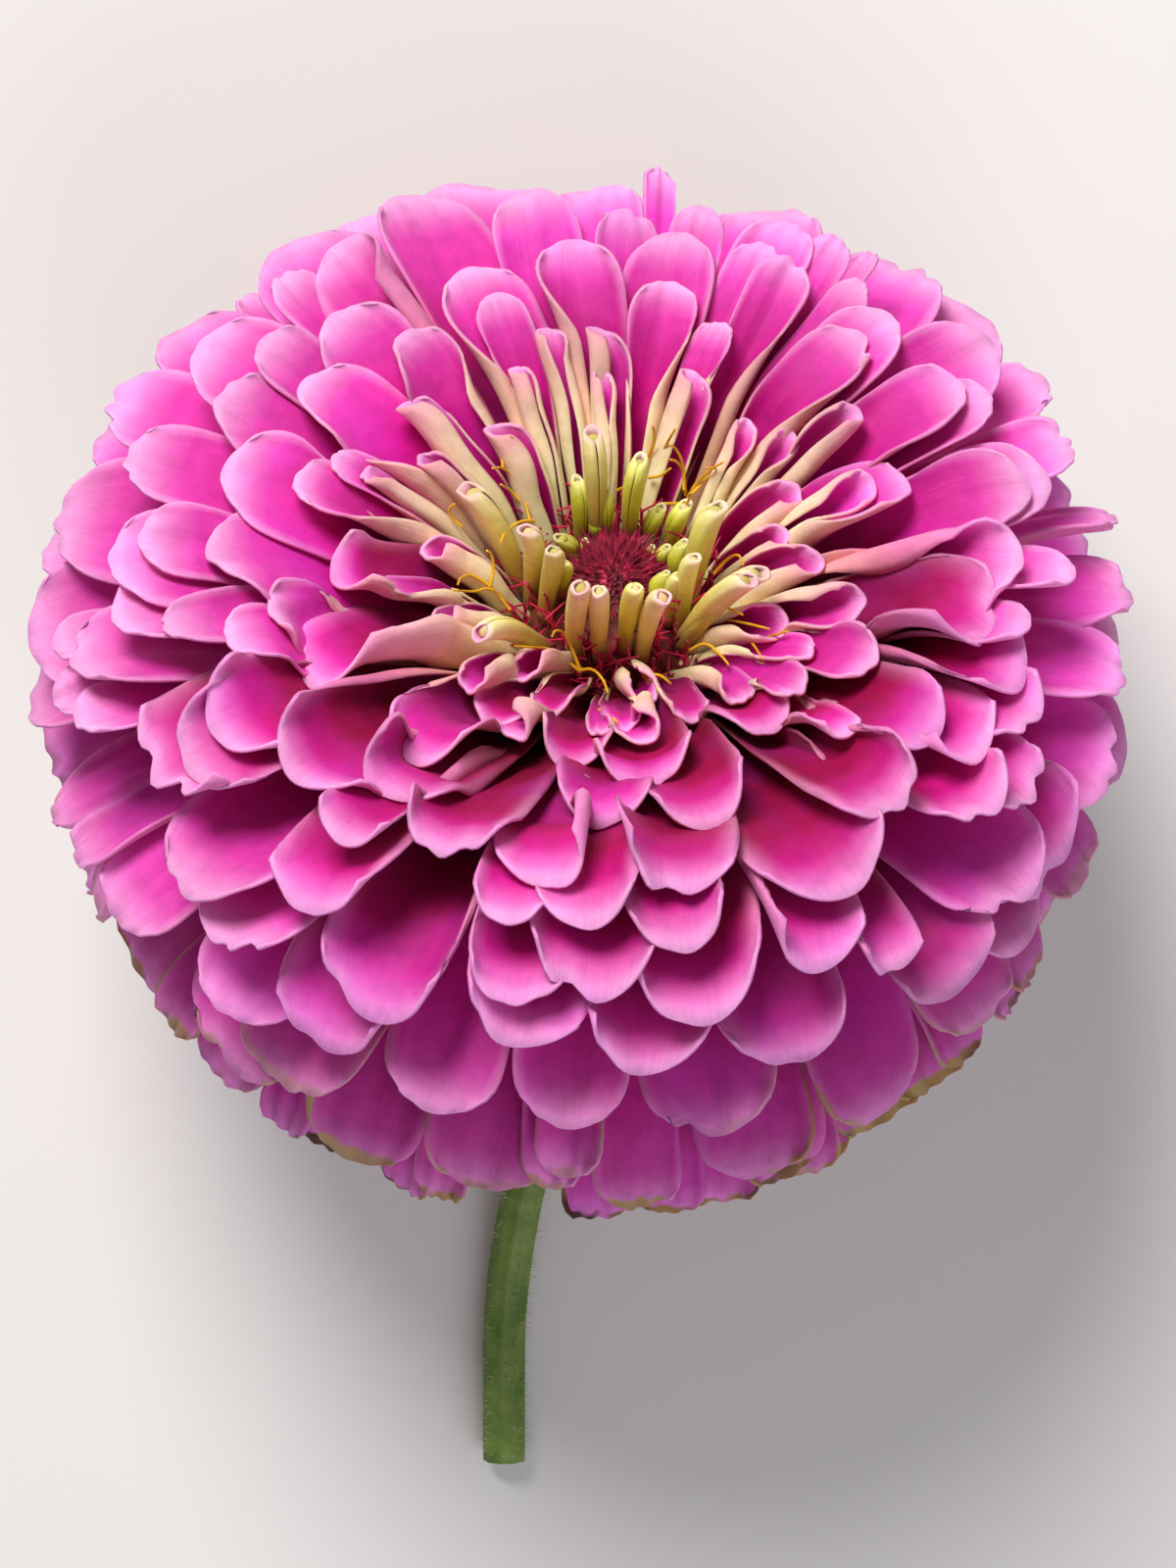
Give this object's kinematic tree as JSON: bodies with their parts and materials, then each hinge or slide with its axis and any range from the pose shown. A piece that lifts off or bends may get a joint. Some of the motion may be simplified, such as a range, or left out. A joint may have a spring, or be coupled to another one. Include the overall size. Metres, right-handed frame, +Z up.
{
  "type": "zinnia flower",
  "caption": "Cut double zinnia lying on a surface: layered pink ray florets, a crimson disc ringed by rolled young florets, a green bracted cup and a short curved stem.",
  "frame": {"origin": "middle of the flower's footprint, on the surface that it lies on", "axes": "+Z up, +Y from the cut end of the stem towards the bloom, +X to the right of the bloom seen from its stem end"},
  "size_m": [0.1118, 0.1441, 0.0976],
  "materials": {
    "ray_petal": "velvety matt petal, magenta at the base and lilac pink at the edge",
    "young_petal": "waxy satin, lime green to cream with pink lips",
    "chaff": "dry satin, crimson",
    "bract": "satin leaf green with dark papery edges",
    "stem": "finely haired matt green"
  },
  "bodies": {
    "root": {"ray_florets": "ray_petal", "young_florets": "young_petal", "disc_chaff": "chaff", "involucre": "bract", "stem": "stem"}
  },
  "joints": []
}
